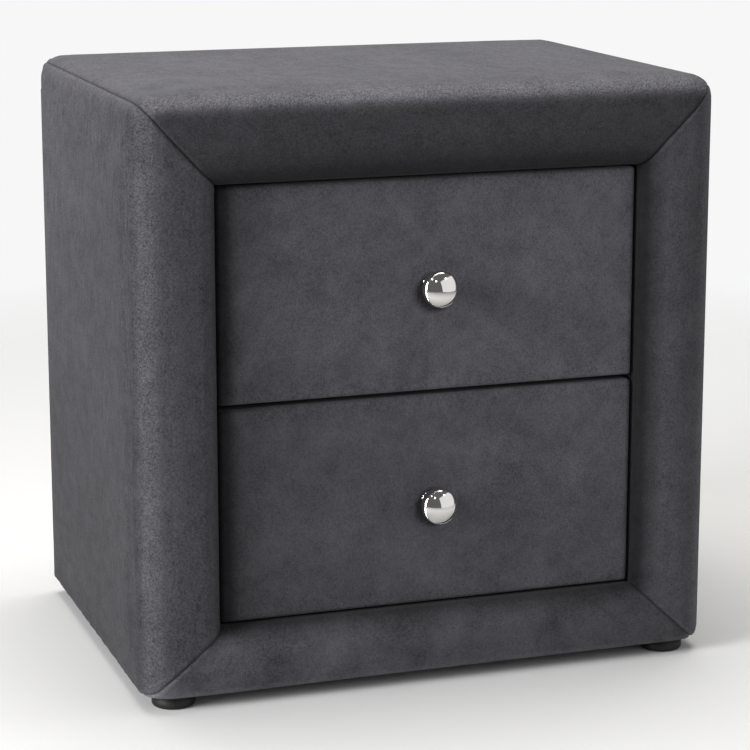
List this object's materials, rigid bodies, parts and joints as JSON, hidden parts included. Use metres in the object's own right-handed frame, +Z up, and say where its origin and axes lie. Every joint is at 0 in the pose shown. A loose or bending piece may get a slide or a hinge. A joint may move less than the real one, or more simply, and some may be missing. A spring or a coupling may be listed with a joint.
{
  "type": "nightstand",
  "caption": "Velvet-upholstered nightstand with a padded mitred front frame around stacked drawers on telescopic runners, round chrome knobs and low round feet.",
  "frame": {"origin": "on the floor, under the middle of the object's box, knobs included", "axes": "+X to the right seen from the front, +Y from the drawer fronts to the back panel, +Z up; drawers open along -Y"},
  "size_m": [0.5, 0.371, 0.5],
  "materials": {
    "velvet": "brushed charcoal velvet",
    "foam": "open-cell upholstery foam",
    "board": "raw particle board",
    "hardboard": "black-faced hardboard",
    "drawer_board": "black foil-wrapped board",
    "runner_steel": "zinc-plated rolled steel",
    "screw_steel": "zinc-plated steel",
    "chrome": "polished chrome plate",
    "foot_plastic": "black moulded plastic"
  },
  "bodies": {
    "cabinet": {"back_panel": "hardboard", "back_panel_nails": "screw_steel", "bottom_cover": "velvet", "bottom_panel": "board", "bottom_rail": "board", "bottom_rail_foam": "foam", "cabinet_runner_screws": "screw_steel", "foot_front_left": "foot_plastic", "foot_front_right": "foot_plastic", "foot_rear_left": "foot_plastic", "foot_rear_right": "foot_plastic", "foot_screws": "screw_steel", "header_rail": "board", "left_cover": "velvet", "left_foam": "foam", "left_runner_panel": "board", "left_side_panel": "board", "left_stile": "board", "lower_left_cabinet_runner": "runner_steel", "lower_right_cabinet_runner": "runner_steel", "right_cover": "velvet", "right_foam": "foam", "right_runner_panel": "board", "right_side_panel": "board", "right_stile": "board", "top_cover": "velvet", "top_foam": "foam", "top_panel": "board", "upper_left_cabinet_runner": "runner_steel", "upper_right_cabinet_runner": "runner_steel"},
    "upper_drawer": {"upper_box_back": "drawer_board", "upper_box_bottom": "hardboard", "upper_box_front": "drawer_board", "upper_box_left": "drawer_board", "upper_box_right": "drawer_board", "upper_drawer_cover": "velvet", "upper_drawer_foam": "foam", "upper_drawer_front": "board", "upper_drawer_screws": "screw_steel", "upper_knob": "chrome", "upper_knob_screw": "screw_steel", "upper_left_drawer_runner": "runner_steel", "upper_right_drawer_runner": "runner_steel"},
    "lower_drawer": {"lower_box_back": "drawer_board", "lower_box_bottom": "hardboard", "lower_box_front": "drawer_board", "lower_box_left": "drawer_board", "lower_box_right": "drawer_board", "lower_drawer_cover": "velvet", "lower_drawer_foam": "foam", "lower_drawer_front": "board", "lower_drawer_screws": "screw_steel", "lower_knob": "chrome", "lower_knob_screw": "screw_steel", "lower_left_drawer_runner": "runner_steel", "lower_right_drawer_runner": "runner_steel"},
    "lower_left_middle_runner_body": {"lower_left_middle_runner": "runner_steel"},
    "lower_right_middle_runner_body": {"lower_right_middle_runner": "runner_steel"},
    "upper_left_middle_runner_body": {"upper_left_middle_runner": "runner_steel"},
    "upper_right_middle_runner_body": {"upper_right_middle_runner": "runner_steel"}
  },
  "joints": [
    {"name": "upper_drawer_slide", "type": "slide", "parent": "cabinet", "child": "upper_drawer", "axis": [0, -1, 0], "range_m": [0, 0.25]},
    {"name": "lower_drawer_slide", "type": "slide", "parent": "cabinet", "child": "lower_drawer", "axis": [0, -1, 0], "range_m": [0, 0.25]},
    {"name": "lower_left_middle_runner_slide", "type": "slide", "parent": "cabinet", "child": "lower_left_middle_runner_body", "axis": [0, -1, 0], "range_m": [0, 0.125]},
    {"name": "lower_right_middle_runner_slide", "type": "slide", "parent": "cabinet", "child": "lower_right_middle_runner_body", "axis": [0, -1, 0], "range_m": [0, 0.125]},
    {"name": "upper_left_middle_runner_slide", "type": "slide", "parent": "cabinet", "child": "upper_left_middle_runner_body", "axis": [0, -1, 0], "range_m": [0, 0.125]},
    {"name": "upper_right_middle_runner_slide", "type": "slide", "parent": "cabinet", "child": "upper_right_middle_runner_body", "axis": [0, -1, 0], "range_m": [0, 0.125]}
  ],
  "couplings": [
    {"joint": "lower_left_middle_runner_slide", "follows": "lower_drawer_slide", "ratio": 0.5},
    {"joint": "lower_right_middle_runner_slide", "follows": "lower_drawer_slide", "ratio": 0.5},
    {"joint": "upper_left_middle_runner_slide", "follows": "upper_drawer_slide", "ratio": 0.5},
    {"joint": "upper_right_middle_runner_slide", "follows": "upper_drawer_slide", "ratio": 0.5}
  ]
}
